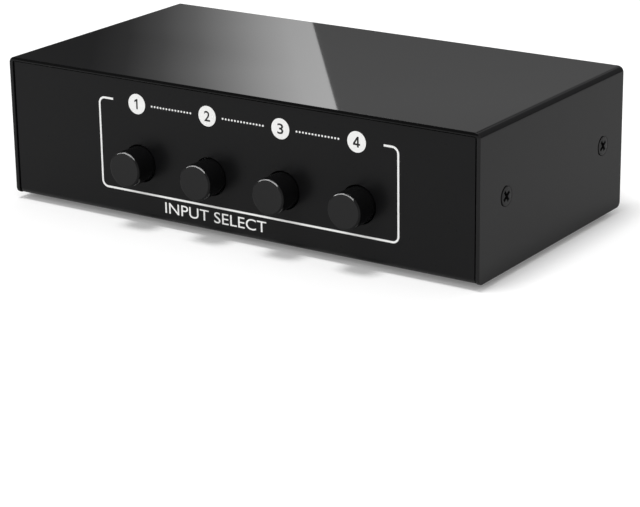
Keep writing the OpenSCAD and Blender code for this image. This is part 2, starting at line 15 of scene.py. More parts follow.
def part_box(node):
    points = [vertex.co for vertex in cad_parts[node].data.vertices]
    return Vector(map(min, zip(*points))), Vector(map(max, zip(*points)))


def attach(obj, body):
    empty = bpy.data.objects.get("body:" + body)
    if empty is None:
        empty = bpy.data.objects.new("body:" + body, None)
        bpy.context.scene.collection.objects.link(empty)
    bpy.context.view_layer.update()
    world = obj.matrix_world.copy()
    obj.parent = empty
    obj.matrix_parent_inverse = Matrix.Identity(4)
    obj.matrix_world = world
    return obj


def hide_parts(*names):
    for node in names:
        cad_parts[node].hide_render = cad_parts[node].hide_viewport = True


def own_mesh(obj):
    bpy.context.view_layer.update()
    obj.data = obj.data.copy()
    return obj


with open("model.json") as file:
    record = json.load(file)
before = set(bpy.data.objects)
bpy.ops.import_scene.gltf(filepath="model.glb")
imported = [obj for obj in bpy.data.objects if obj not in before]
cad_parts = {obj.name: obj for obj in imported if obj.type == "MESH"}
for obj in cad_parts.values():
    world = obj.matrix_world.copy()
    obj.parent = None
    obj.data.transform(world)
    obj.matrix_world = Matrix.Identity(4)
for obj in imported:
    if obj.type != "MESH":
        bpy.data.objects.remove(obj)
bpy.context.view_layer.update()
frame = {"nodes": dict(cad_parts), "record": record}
nodes = frame["nodes"]
scene = bpy.context.scene

MM = 0.001

# Points nearer than this become one
WELD = 1e-3

# Planes of the case
CASE_W = 137.0
CASE_H = 36.0
BASE_Z = 1.5
TOP_Z = BASE_Z + CASE_H
FRONT_FACE_Y = -35.2
REAR_FACE_Y = 34.2

# Lid's cut edge: painted shade down to one height, and in the panels' tone down to the next
LID_SHADE_Z = TOP_Z - 0.65
LID_EDGE_Z = TOP_Z - 1.2
CUT_FACE_MIN = 0.9

# How far the sharp edges of sheet and plastic are rounded
COVER_SOFT = 0.16
PANEL_SOFT = 0.14
PLASTIC_SOFT = 0.12

# Top edge of the panels, raised towards the lid with a smaller rounding
PANEL_TOP_Z = 36.1
PANEL_RAISE = 0.2
PANEL_TOP_SOFT = 0.04
PANEL_TOP_MARGIN = 0.01

# Feet
FOOT_XS = (-58.5, 58.5)
FOOT_YS = (-25.5, 24.5)
FOOT_R = 4.0
FOOT_H = 1.5
FOOT_HOLLOW = 0.15
FOOT_DRAFT = 0.1

# Screws
CROSS_TAPER = 0.35
CROSS_ABOVE = 0.5
SHANK_R = 1.45
PAN_R = 2.45
PAN_H = 1.5
PAN_END_Z = -8
FLUSH_R = 2.28
FLUSH_END_Z = -6
SOCKET_SCREW_DX = -0.85
SOCKET_SCREW_Z = BASE_Z + 19.05
SOCKET_SCREW_TURNS = (20, 38, 12, 52, 30)
SIDE_SCREW_YS = (-23.3, 24.3)
SIDE_SCREW_Z = BASE_Z + 18.2
SIDE_SCREW_TURN = 35

# Buttons
STATIONS = (1, 2, 3, 4)
BUTTON_X = {i: 4.0 + (i - 2.5) * 21.3 for i in STATIONS}
BUTTON_Z = BASE_Z + 14.0
BUTTON_R = 4.5
BUTTON_BACK_Y = -31.5
BUTTON_LEN = 10.0
BUTTON_EDGE_LEN = 0.2
BUTTON_EDGE_IN = 0.4
BUTTON_EDGE_MARGIN = 0.1
BUTTON_ROUND = 0.15
BUTTON_FACE_ROUND = 0.12
BUTTON_BORE_R = 1.82
BUTTON_BORE_LEN = 6.02

# Hollow of a button's face, as radius and depth
BUTTON_HOLLOW = ((3.3, 0.02), (1.6, 0.05), (0, 0.06))

# Socket groups
CELLS = ("in_4", "in_3", "in_2", "in_1", "out")
CELL_PITCH = 24.9
CELL_X = {c: (2 - k) * CELL_PITCH for k, c in enumerate(CELLS)}
PHONO_DX = 5.25
PHONO_Z = {"red": BASE_Z + 12.3, "white": BASE_Z + 25.8}
SHELL_BACK_Y = 28.2
SHELL_LEN = 13.3
SHELL_R = 4.15
SHELL_HELD_R = 3.95
SHELL_TUBE_R = 4.02
SHELL_INNER_R = 3.7
SHELL_HELD_LEN = 7.0
RIM_BACK = 12.25
RIM_SLOPE = 0.15
LIP_R = 3.5
LIP_BACK = 13.03
INSERT_R = 3.68
INSERT_RECESS = {"white": 0.3, "red": 0.7}
PIN_HOLE_R = 1.7
PIN_HOLE_LEN = 5.5
CONTACT_HOLE_R = 2.22
PIN_MOUTH = 0.2
# Below this depth under an insert's face, the pin hole is painted in shade
BORE_SHADE_DEPTH = 1.0
BORE_MARGIN = 0.1
RED_STEP = 0.5
DISC_R = 2.1
DISC_SLOPE_END_R = 2.18
DISC_FINISH_R = 2.14
INSERT_FACE_R = 3.34
INSERT_GAP_R = 3.36
INSERT_GAP_DEEP = 0.35
JACK_DX = -6.15
JACK_Z = BASE_Z + 8.5
JACK_MOUTH_Y = 35.2
FERRULE_R = 2.45
FERRULE_HOLE_R = 1.8
FERRULE_LEN = 2.2
FERRULE_BACK = 2.0

# Ring line on an insert's face, as radius and depth
RING_LINE = ((2.88, 0), (2.92, 0.08), (3.02, 0.08), (3.06, 0))

# Springs
SPRING_FRONT_Y = -30.62
SPRING_LEN = 6.04
SPRING_R = 2.6
SPRING_WIRE = 0.35
SPRING_TURNS = 4
LOCK_SPRING_R = 2.1
LOCK_SPRING_TURNS = 6
COIL_SIDES = 10
COIL_STEPS = 40

# Texture layer of turned pieces: its first axis runs along the profile
TURNED_UV = "turned"


def pick(sockets, name):
    """Socket by its identifier, where several share one name."""
    return next(s for s in sockets if s.identifier == name)


# Materials

def surface(name, color, rough, grain=900.0, spread=0.1, rough_spread=0.06, bump=0.12, depth_m=2e-5,
            stretch=(1.0, 1.0, 1.0), coarse=90.0, turned=False, fixed=None):
    """Material whose colour drifts with a coarse noise, and whose roughness and relief follow a fine one.
    With turned, its shine spreads along the axis that the piece was turned about."""
    material = bpy.data.materials.new(name)
    material.use_nodes = True
    tree = material.node_tree
    shader = tree.nodes["Principled BSDF"]
    for socket, value in (fixed or {}).items():
        shader.inputs[socket].default_value = value

    place = tree.nodes.new("ShaderNodeTexCoord")
    scale = tree.nodes.new("ShaderNodeMapping")
    scale.inputs["Scale"].default_value = stretch
    tree.links.new(place.outputs["Object"], scale.inputs["Vector"])

    drift = tree.nodes.new("ShaderNodeTexNoise")
    drift.inputs["Scale"].default_value = coarse
    drift.inputs["Detail"].default_value = 4.0
    tree.links.new(scale.outputs["Vector"], drift.inputs["Vector"])

    fine = tree.nodes.new("ShaderNodeTexNoise")
    fine.inputs["Scale"].default_value = grain
    fine.inputs["Detail"].default_value = 3.0
    tree.links.new(scale.outputs["Vector"], fine.inputs["Vector"])

    tint = tree.nodes.new("ShaderNodeMix")
    tint.data_type = "RGBA"
    pick(tint.inputs, "A_Color").default_value = [c * (1 - spread) for c in color] + [1.0]
    pick(tint.inputs, "B_Color").default_value = [c * (1 + spread) for c in color] + [1.0]
    tree.links.new(drift.outputs["Fac"], pick(tint.inputs, "Factor_Float"))
    tree.links.new(pick(tint.outputs, "Result_Color"), shader.inputs["Base Color"])

    dull = tree.nodes.new("ShaderNodeMapRange")
    dull.inputs["To Min"].default_value = rough - rough_spread
    dull.inputs["To Max"].default_value = rough + rough_spread
    tree.links.new(fine.outputs["Fac"], dull.inputs["Value"])
    tree.links.new(dull.outputs["Result"], shader.inputs["Roughness"])

    relief = tree.nodes.new("ShaderNodeBump")
    relief.inputs["Strength"].default_value = bump
    relief.inputs["Distance"].default_value = depth_m
    tree.links.new(fine.outputs["Fac"], relief.inputs["Height"])
    tree.links.new(relief.outputs["Normal"], shader.inputs["Normal"])
    if turned:
        direction = tree.nodes.new("ShaderNodeTangent")
        direction.direction_type = "UV_MAP"
        direction.uv_map = TURNED_UV
        tree.links.new(direction.outputs["Tangent"], shader.inputs["Tangent"])
    return material


COVER_PAINT = surface(
    "cover_paint_look", (0.0075, 0.0075, 0.0078), 0.42, grain=1500.0, bump=0.08,
    fixed={"Specular IOR Level": 0.0, "Coat Weight": 0.33, "Coat Roughness": 0.025, "Coat IOR": 1.5})
# Painted shade: a near-black colour for the upper band of the lid's cut edge, standing in for the shade of
# the gap over the panels
LID_EDGE_SHADE = surface(
    "lid_edge_painted_shade_look", (0.0025, 0.0025, 0.0026), 0.5, grain=1500.0, bump=0.08, fixed={"IOR": 1.1})
PANEL_PAINT = surface(
    "panel_paint_look", (0.005, 0.005, 0.0053), 0.3, grain=1500.0, bump=0.08, fixed={"IOR": 1.21})
BUTTON_PLASTIC = surface(
    "button_plastic_look", (0.0045, 0.0045, 0.0047), 0.4, grain=2600.0, bump=0.05,
    fixed={"Specular IOR Level": 0.0, "Coat Weight": 0.45, "Coat Roughness": 0.08, "Coat IOR": 1.5})
BUTTON_EDGE = surface(
    "button_edge_look", (0.0045, 0.0045, 0.0047), 0.4, grain=2600.0, bump=0.05,
    fixed={"Specular IOR Level": 0.0, "Coat Weight": 0.25, "Coat Roughness": 0.08, "Coat IOR": 1.5})
BLACK_PLASTIC = surface(
    "black_plastic_look", (0.009, 0.009, 0.0095), 0.34, grain=1800.0, bump=0.1, fixed={"IOR": 1.42})
WHITE_PLASTIC = surface(
    "white_plastic_look", (0.66, 0.64, 0.6), 0.32, grain=700.0, spread=0.04, bump=0.05)
RED_PLASTIC = surface(
    "red_plastic_look", (0.37, 0.008, 0.009), 0.38, grain=700.0, spread=0.08, bump=0.05, fixed={"IOR": 1.38})
DEEP_RED = surface(
    "deep_red_look", (0.24, 0.006, 0.008), 0.42, grain=700.0, spread=0.1, bump=0.05, fixed={"IOR": 1.38})
# Painted shade: dark colours for the deep part of the inserts' pin holes, where shade falls
WHITE_BORE_SHADE = surface("white_bore_painted_shade_look", (0.2, 0.012, 0.018), 0.5, grain=900.0, spread=0.2)
RED_BORE_SHADE = surface("red_bore_painted_shade_look", (0.07, 0.004, 0.005), 0.55, grain=900.0, spread=0.2)
NICKEL = surface(
    "nickel_look", (0.8, 0.79, 0.765), 0.4, grain=500.0, spread=0.05, rough_spread=0.05, bump=0.05,
    stretch=(1.0, 6.0, 1.0), turned=True, fixed={"Metallic": 1.0, "Anisotropic": 1.0})
NICKEL_RIM = surface(
    "nickel_rim_look", (0.76, 0.75, 0.73), 0.2, grain=500.0, spread=0.05, rough_spread=0.04, bump=0.04,
    fixed={"Metallic": 1.0})
SCREW_BLACK = surface(
    "black_screw_look", (0.006, 0.006, 0.0063), 0.2, grain=2200.0, spread=0.2, bump=0.1, fixed={"IOR": 1.25})
SIDE_SCREW_BLACK = surface(
    "side_screw_look", (0.006, 0.006, 0.0063), 0.35, grain=2200.0, spread=0.2, bump=0.1,
    fixed={"Specular IOR Level": 0.08})
RUBBER = surface("rubber_look", (0.018, 0.018, 0.018), 0.75, grain=2200.0, spread=0.15, bump=0.4)
ZINC = surface(
    "zinc_steel_look", (0.56, 0.57, 0.58), 0.36, grain=420.0, spread=0.12, rough_spread=0.12, bump=0.1,
    stretch=(1.0, 4.0, 4.0), fixed={"Metallic": 1.0})
BRASS = surface(
    "brass_look", (0.62, 0.43, 0.17), 0.34, grain=700.0, spread=0.1, bump=0.08, fixed={"Metallic": 1.0})
NYLON = surface("nylon_look", (0.62, 0.6, 0.52), 0.45, grain=1200.0, spread=0.06, bump=0.1)
BOARD = surface(
    "board_look", (0.02, 0.11, 0.05), 0.4, grain=650.0, spread=0.35, coarse=380.0, bump=0.25)
WHITE_INK = surface(
    "white_ink_look", (0.9, 0.9, 0.89), 0.55, grain=2600.0, spread=0.04, coarse=600.0, bump=0.1)
DARK_INK = surface(
    "dark_ink_look", (0.009, 0.009, 0.0095), 0.5, grain=2600.0, spread=0.1, coarse=600.0, bump=0.1,
    fixed={"IOR": 1.3})

NODE_LOOKS = {
    "board": BOARD, "zinc_steel": ZINC, "brass": BRASS, "nylon": NYLON, "black_plastic": BLACK_PLASTIC,
    "nickel": NICKEL, "white_plastic": WHITE_PLASTIC, "red_plastic": RED_PLASTIC, "rubber": RUBBER,
    "black_screw": SCREW_BLACK, "button_plastic": BUTTON_PLASTIC, "cover_paint": COVER_PAINT,
    "panel_paint": PANEL_PAINT,
}
for part in frame["record"]["subparts"]:
    node_object = nodes[part["node"]]
    for material_slot in node_object.material_slots:
        material_slot.material = NODE_LOOKS[part["material_slot"]]


# Mesh building, in mm

def piece(name, bm, materials, body, replaced=(), sharp=35.0, weighted=False):
    """Links a mesh built in mm as a piece in metres that rides on a body."""
    bmesh.ops.recalc_face_normals(bm, faces=bm.faces)
    bm.transform(Matrix.Scale(MM, 4))
    mesh = bpy.data.meshes.new(name)
    bm.to_mesh(mesh)
    bm.free()
    mesh.shade_smooth()
    mesh.set_sharp_from_angle(angle=math.radians(sharp))
    for material in materials:
        mesh.materials.append(material)
    obj = bpy.data.objects.new(name, mesh)
    scene.collection.objects.link(obj)
    if weighted:
        modifier = obj.modifiers.new("even_normals", "WEIGHTED_NORMAL")
        modifier.keep_sharp = True
    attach(obj, body)
    if replaced:
        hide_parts(*replaced)
    return obj


def rounded_path(corners, steps=5):
    """Points along (radius, along, fillet) corners, each corner with a fillet turned into an arc."""
    points = []
    count = len(corners)
    for i, (radius, along, fillet) in enumerate(corners):
        here = Vector((radius, along))
        if not fillet:
            points.append(here)
            continue
        before = (Vector(corners[(i - 1) % count][:2]) - here).normalized()
        after = (Vector(corners[(i + 1) % count][:2]) - here).normalized()
        half = before.angle(after) / 2
        centre = here + (before + after).normalized() * (fillet / math.sin(half))
        first = here + before * (fillet / math.tan(half)) - centre
        last = here + after * (fillet / math.tan(half)) - centre
        turn = math.atan2(first.x * last.y - first.y * last.x, first.dot(last))
        for step in range(steps + 1):
            points.append(centre + Matrix.Rotation(turn * step / steps, 2) @ first)
    return points


def lathe(bm, points, matrix, closed=False, segments=72, finish=None):
    """Turns (radius, along) points about the matrix's own Z axis.
    finish gives a face's material number from the radius and the place along the axis of its middle."""
    rings = []
    layer = bm.loops.layers.uv.get(TURNED_UV) or bm.loops.layers.uv.new(TURNED_UV)
    for radius, along in points:
        count = segments if radius > 1e-6 else 1
        angles = [2 * math.pi * i / segments for i in range(count)]
        rings.append([bm.verts.new(matrix @ Vector((radius * math.cos(a), radius * math.sin(a), along)))
                      for a in angles])
    pairs = list(zip(range(len(rings)), range(1, len(rings))))
    if closed:
        pairs.append((len(rings) - 1, 0))
    for low, high in pairs:
        for i in range(segments):
            corners = {}
            for ring, k in ((low, i), (low, i + 1), (high, i + 1), (high, i)):
                radius, along = points[ring]
                corners.setdefault(rings[ring][k % len(rings[ring])], (along - radius, k / segments))
            face = bm.faces.new(list(corners))
            for loop in face.loops:
                loop[layer].uv = corners[loop.vert]
            if finish:
                middle = (Vector(points[low]) + Vector(points[high])) / 2
                face.material_index = finish(middle.x, middle.y)


def along_y(x, y, z, sign=1):
    """Frame whose own Z axis runs along +Y, or along -Y with sign -1, from a point."""
    return Matrix.Translation((x, y, z)) @ Matrix.Rotation(math.radians(-90 * sign), 4, "X")


def softened(node, width, segments=2, edge_angle=40.0):
    """Copy of a CAD node, in mm, with its sharp edges rounded."""
    bm = bmesh.new()
    bm.from_mesh(nodes[node].data)
    bm.transform(Matrix.Scale(1 / MM, 4))
    bmesh.ops.remove_doubles(bm, verts=bm.verts, dist=WELD)
    bmesh.ops.dissolve_limit(bm, angle_limit=math.radians(0.5), verts=bm.verts, edges=bm.edges)
    edges = [e for e in bm.edges if e.is_manifold and e.calc_face_angle() > math.radians(edge_angle)]
    bmesh.ops.bevel(bm, geom=edges, offset=width, segments=segments, profile=0.5, affect="EDGES",
                    clamp_overlap=True)
    for face in bm.faces:
        face.material_index = 0
    return bm


# Case

bm = softened("top_cover", COVER_SOFT)
for height in (LID_EDGE_Z, LID_SHADE_Z):
    cut_faces = [f for f in bm.faces if abs(f.normal.y) > CUT_FACE_MIN]
    cut_parts = dict.fromkeys(part for f in cut_faces for part in (f, *f.edges, *f.verts))
    bmesh.ops.bisect_plane(bm, geom=list(cut_parts), dist=1e-4, plane_co=(0, 0, height), plane_no=(0, 0, 1))
# Painted shade on the upper band of the lid's front and rear cut edge; the band below it takes the panels'
# paint
for face in bm.faces:
    height = face.calc_center_median().z
    if abs(face.normal.y) > CUT_FACE_MIN and height > LID_EDGE_Z:
        face.material_index = 1 if height > LID_SHADE_Z else 2
piece("cover_shell", bm, [COVER_PAINT, LID_EDGE_SHADE, PANEL_PAINT], "case", ["top_cover"],
      weighted=True)

bm = softened("chassis", PANEL_SOFT)
for vert in bm.verts:
    below = PANEL_TOP_Z - vert.co.z
    if below < PANEL_SOFT + PANEL_TOP_MARGIN:
        vert.co.z = PANEL_TOP_Z + PANEL_RAISE - below * PANEL_TOP_SOFT / PANEL_SOFT
piece("chassis_panels", bm, [PANEL_PAINT], "case", ["chassis"], weighted=True)

foot_path = rounded_path([
    (0, FOOT_HOLLOW, 0), (2.6, FOOT_HOLLOW, 0.1), (2.9, 0, 0.1), (FOOT_R, 0, 0.35),
    (FOOT_R - FOOT_DRAFT, FOOT_H, 0), (0, FOOT_H, 0)])
bm = bmesh.new()
for x in FOOT_XS:
    for y in FOOT_YS:
        lathe(bm, foot_path, Matrix.Translation((x, y, 0)), segments=48)
piece("foot_pads", bm, [RUBBER], "case", ["rubber_feet"])


# Screws

def cross_cutter(top, half, slot, depth):
    """Tapered cross that cuts a screwdriver recess, from above the height top down to a depth."""
    bm = bmesh.new()
    rings = []
    upper = top + CROSS_ABOVE, 1 + CROSS_TAPER * CROSS_ABOVE / depth
    lower = top - depth, 1 - CROSS_TAPER
    for height, grow in (upper, lower):
        a, b = half * grow, slot / 2 * grow
        outline = [(a, -b), (a, b), (b, b), (b, a), (-b, a), (-b, b), (-a, b), (-a, -b), (-b, -b), (-b, -a),
                   (b, -a), (b, -b)]
        rings.append([bm.verts.new((u, v, height)) for u, v in outline])
    count = len(rings[0])
    bm.faces.new(rings[0])
    bm.faces.new(list(reversed(rings[1])))
    for i in range(count):
        bm.faces.new([rings[0][i], rings[1][i], rings[1][(i + 1) % count], rings[0][(i + 1) % count]])
    bmesh.ops.recalc_face_normals(bm, faces=bm.faces)
    return bm


def scratch_object(bm):
    """Object for a moment's use, made from a mesh."""
    mesh = bpy.data.meshes.new("scratch")
    bm.to_mesh(mesh)
    bm.free()
    obj = bpy.data.objects.new("scratch", mesh)
    scene.collection.objects.link(obj)
    return obj


def drop(obj):
    """Deletes an object and its mesh."""
    mesh = obj.data
    bpy.data.objects.remove(obj)
    bpy.data.meshes.remove(mesh)


def screw_mesh(path, top, half, slot, depth):
    """Mesh, in mm, of a screw turned about Z with a cross recess in its head."""
    bm = bmesh.new()
    lathe(bm, rounded_path(path), Matrix.Identity(4), segments=48)
    bmesh.ops.recalc_face_normals(bm, faces=bm.faces)
    body = scratch_object(bm)
    cutter = scratch_object(cross_cutter(top, half, slot, depth))
    cut = body.modifiers.new("recess", "BOOLEAN")
    cut.operation = "DIFFERENCE"
    cut.solver = "EXACT"
    cut.object = cutter
    bpy.context.view_layer.update()
    mesh = bpy.data.meshes.new_from_object(body.evaluated_get(bpy.context.evaluated_depsgraph_get()))
    drop(body)
    drop(cutter)
    return mesh


def place_copies(mesh, matrices):
    """Copies of a mesh at several places, as one mesh."""
    bm = bmesh.new()
    for matrix in matrices:
        start = len(bm.verts)
        bm.from_mesh(mesh)
        bm.verts.ensure_lookup_table()
        bmesh.ops.transform(bm, matrix=matrix, verts=bm.verts[start:])
    bpy.data.meshes.remove(mesh)
    return bm


pan_head = screw_mesh(
    [(0, PAN_END_Z, 0), (SHANK_R, PAN_END_Z, 0.3), (SHANK_R, 0, 0), (PAN_R, 0, 0.1), (PAN_R, PAN_H, 0.75),
     (0, PAN_H, 0)],
    top=PAN_H, half=1.35, slot=0.75, depth=1.1)
socket_places = [along_y(x + SOCKET_SCREW_DX, REAR_FACE_Y, SOCKET_SCREW_Z)
                 @ Matrix.Rotation(math.radians(turn), 4, "Z")
                 for x, turn in zip(CELL_X.values(), SOCKET_SCREW_TURNS)]
piece("socket_screw_heads", place_copies(pan_head, socket_places), [SCREW_BLACK], "case",
      ["socket_screws"])

flush_head = screw_mesh(
    [(0, FLUSH_END_Z, 0), (SHANK_R, FLUSH_END_Z, 0.3), (SHANK_R, -1, 0), (2.2, -0.4, 0),
     (FLUSH_R, -0.33, 0), (FLUSH_R, 0, 0.06), (0, 0, 0)],
    top=0.0, half=1.55, slot=0.85, depth=0.8)
side_places = [Matrix.Translation((side * CASE_W / 2, y, SIDE_SCREW_Z))
               @ Matrix.Rotation(math.radians(90 * side), 4, "Y")
               @ Matrix.Rotation(math.radians(SIDE_SCREW_TURN), 4, "Z")
               for side in (-1, 1) for y in SIDE_SCREW_YS]
piece("side_screw_heads", place_copies(flush_head, side_places), [SIDE_SCREW_BLACK], "case",
      ["cover_screws"])


# Buttons and their springs

button_corners = [
    (0, BUTTON_BORE_LEN, 0), (BUTTON_BORE_R, BUTTON_BORE_LEN, 0), (BUTTON_BORE_R, 0, 0),
    (BUTTON_R, 0, BUTTON_ROUND), (BUTTON_R, BUTTON_LEN - BUTTON_EDGE_LEN, BUTTON_ROUND),
    (BUTTON_R - BUTTON_EDGE_IN, BUTTON_LEN, BUTTON_FACE_ROUND)]
button_corners += [(radius, BUTTON_LEN - deep, 0) for radius, deep in BUTTON_HOLLOW]
button_path = rounded_path(button_corners, steps=8)


def coil(bm, matrix, outer_r, wire, length, turns):
    """Coil of wire with capped ends along the matrix's own Z axis."""
    rings = COIL_STEPS * turns
    radius = outer_r - wire / 2
    loops = []
    for i in range(rings + 1):
        share = i / rings
        angle = 2 * math.pi * turns * share
        height = wire / 2 + (length - wire) * share
        out = Vector((math.cos(angle), math.sin(angle), 0))
        loops.append([bm.verts.new(matrix @ (out * (radius + wire / 2 * math.cos(b))
                                             + Vector((0, 0, height + wire / 2 * math.sin(b)))))
                      for b in (2 * math.pi * j / COIL_SIDES for j in range(COIL_SIDES))])
    for low, high in zip(loops, loops[1:]):
        for j in range(COIL_SIDES):
            after = (j + 1) % COIL_SIDES
            bm.faces.new([low[j], low[after], high[after], high[j]])
    bm.faces.new(list(reversed(loops[0])))
    bm.faces.new(loops[-1])


def button_finish(radius, along):
    """Material number by place: 1 on the narrow edge round the face."""
    outer = radius > BUTTON_R - BUTTON_EDGE_IN - BUTTON_EDGE_MARGIN
    return 1 if outer and along > BUTTON_LEN - BUTTON_EDGE_LEN - BUTTON_EDGE_MARGIN else 0


button_caps = []
for i in STATIONS:
    bm = bmesh.new()
    lathe(bm, button_path, along_y(BUTTON_X[i], BUTTON_BACK_Y, BUTTON_Z, -1), finish=button_finish)
    cap = piece(f"button_cap_{i}", bm, [BUTTON_PLASTIC, BUTTON_EDGE], f"push_{i}",
                [f"button_{i}"])
    button_caps.append(cap)
    bm = bmesh.new()
    coil(bm, along_y(BUTTON_X[i], SPRING_FRONT_Y, BUTTON_Z), SPRING_R, SPRING_WIRE, SPRING_LEN, SPRING_TURNS)
    spring = piece(f"button_spring_{i}", bm, [ZINC], "case", [f"return_spring_{i}"])
    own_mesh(spring)

lock_low, lock_high = ([v / MM for v in corner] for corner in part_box("lock_spring"))
lock_y = (lock_low[1] + lock_high[1]) / 2
bm = bmesh.new()
coil(bm, Matrix.Translation((lock_low[0], lock_y, BUTTON_Z)) @ Matrix.Rotation(math.radians(90), 4, "Y"),
     LOCK_SPRING_R, SPRING_WIRE, lock_high[0] - lock_low[0], LOCK_SPRING_TURNS)
lock_coil = piece("lock_coil", bm, [ZINC], "case", ["lock_spring"])
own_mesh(lock_coil)


# Sockets

shell_path = rounded_path([
    (SHELL_INNER_R, 0, 0), (SHELL_HELD_R, 0, 0), (SHELL_HELD_R, SHELL_HELD_LEN, 0),
    (SHELL_TUBE_R, SHELL_HELD_LEN, 0.04), (SHELL_TUBE_R, RIM_BACK, 0.1),
    (SHELL_R, RIM_BACK + RIM_SLOPE, 0.12), (SHELL_R, SHELL_LEN, 0.36), (LIP_R, SHELL_LEN, 0.2),
    (LIP_R, LIP_BACK, 0), (SHELL_INNER_R, LIP_BACK, 0)])


def shell_finish(radius, along):
    """Material number by place: 1 on the polished rim."""
    return 1 if along > RIM_BACK else 0


def insert_path(face, step):
    """Profile of an insert with its face at a length, a ring line on it and, with step, a sunk inner disc."""
    sunk = face - step
    corners = [(CONTACT_HOLE_R, 0, 0), (CONTACT_HOLE_R, face - PIN_HOLE_LEN, 0),
               (PIN_HOLE_R, face - PIN_HOLE_LEN, 0), (PIN_HOLE_R, sunk - BORE_SHADE_DEPTH, 0),
               (PIN_HOLE_R, sunk - PIN_MOUTH, 0), (PIN_HOLE_R + PIN_MOUTH, sunk, 0.05)]
    if step:
        corners += [(DISC_R, sunk, 0.05), (DISC_SLOPE_END_R, face, 0.06)]
    corners += [(radius, face - deep, 0) for radius, deep in RING_LINE]
    corners += [(INSERT_FACE_R, face, 0.06), (INSERT_GAP_R, face - INSERT_GAP_DEEP, 0),
                (INSERT_R, face - INSERT_GAP_DEEP, 0), (INSERT_R, 0, 0)]
    return rounded_path(corners)


def insert_finish(face, step):
    """Material number by place: 1 deep in the bore, painted in shade, 2 on a sunk disc."""
    def number(radius, along):
        if radius < PIN_HOLE_R + BORE_MARGIN and along < face - BORE_SHADE_DEPTH:
            return 1
        return 2 if step and radius < DISC_FINISH_R else 0
    return number


ferrule_path = rounded_path([
    (FERRULE_HOLE_R, 0, 0), (FERRULE_R, 0, 0.05), (FERRULE_R, FERRULE_LEN, 0.28), (2.05, FERRULE_LEN, 0.06),
    (FERRULE_HOLE_R, 1.95, 0.05)])
insert_looks = (("white", [WHITE_PLASTIC, WHITE_BORE_SHADE], 0),
                ("red", [RED_PLASTIC, RED_BORE_SHADE, DEEP_RED], RED_STEP))

for cell in CELLS:
    x = CELL_X[cell] + PHONO_DX
    piece(f"socket_block_{cell}", softened(f"phono_block_{cell}", PLASTIC_SOFT), [BLACK_PLASTIC], "case",
          [f"phono_block_{cell}"], weighted=True)
    bm = bmesh.new()
    for z in PHONO_Z.values():
        lathe(bm, shell_path, along_y(x, SHELL_BACK_Y, z), closed=True, finish=shell_finish)
    piece(f"socket_shells_{cell}", bm, [NICKEL, NICKEL_RIM], "case", [f"phono_shells_{cell}"])
    for colour, materials, step in insert_looks:
        face = SHELL_LEN - INSERT_RECESS[colour]
        bm = bmesh.new()
        lathe(bm, insert_path(face, step), along_y(x, SHELL_BACK_Y, PHONO_Z[colour]), closed=True,
              finish=insert_finish(face, step))
        piece(f"{colour}_core_{cell}", bm, materials, "case",
              [f"{colour}_insert_{cell}"])
    x = CELL_X[cell] + JACK_DX
    piece(f"jack_barrel_{cell}", softened(f"jack_body_{cell}", PLASTIC_SOFT), [BLACK_PLASTIC], "case",
          [f"jack_body_{cell}"], weighted=True)
    bm = bmesh.new()
    lathe(bm, ferrule_path, along_y(x, JACK_MOUTH_Y - FERRULE_BACK, JACK_Z), closed=True)
    piece(f"jack_rim_{cell}", bm, [NICKEL_RIM], "case", [f"jack_ring_{cell}"])


# Print, in mm from the left lower corner of a panel seen from its own side

INK = 0.04
INK_FOOT = -0.01
DIGIT_FOOT = INK - 0.01
DIGIT_TOP = INK + 0.02
PRINT_SHARP = 30
FRONT = Matrix.Translation((-CASE_W / 2, FRONT_FACE_Y, BASE_Z)) @ Matrix.Rotation(math.radians(90), 4, "X")
REAR = (Matrix.Translation((CASE_W / 2, REAR_FACE_Y, BASE_Z)) @ Matrix.Rotation(math.radians(180), 4, "Z")
        @ Matrix.Rotation(math.radians(90), 4, "X"))


def prism(bm, outline, low, high):
    """Flat solid over an outline of (u, v) points."""
    bottom = [bm.verts.new((u, v, low)) for u, v in outline]
    top = [bm.verts.new((u, v, high)) for u, v in outline]
    bm.faces.new(top)
    bm.faces.new(list(reversed(bottom)))
    for i, start in enumerate(bottom):
        after = (i + 1) % len(bottom)
        bm.faces.new([start, bottom[after], top[after], top[i]])


def disc(bm, u, v, radius, sides):
    """Round spot of ink."""
    turns = [2 * math.pi * i / sides for i in range(sides)]
    prism(bm, [(u + radius * math.cos(a), v + radius * math.sin(a)) for a in turns], INK_FOOT, INK)


def bar(bm, u0, v0, u1, v1):
    """Straight line of ink that fills a box."""
    prism(bm, [(u0, v0), (u1, v0), (u1, v1), (u0, v1)], INK_FOOT, INK)


def ribbon(bm, path, width):
    """Line of ink of a width along a path of points."""
    left, right = [], []
    for i, here in enumerate(path):
        before, after = path[max(i - 1, 0)], path[min(i + 1, len(path) - 1)]
        run = (after - before).normalized()
        side = Vector((-run.y, run.x)) * (width / 2)
        left.append(here + side)
        right.append(here - side)
    prism(bm, [tuple(p) for p in right + left[::-1]], INK_FOOT, INK)


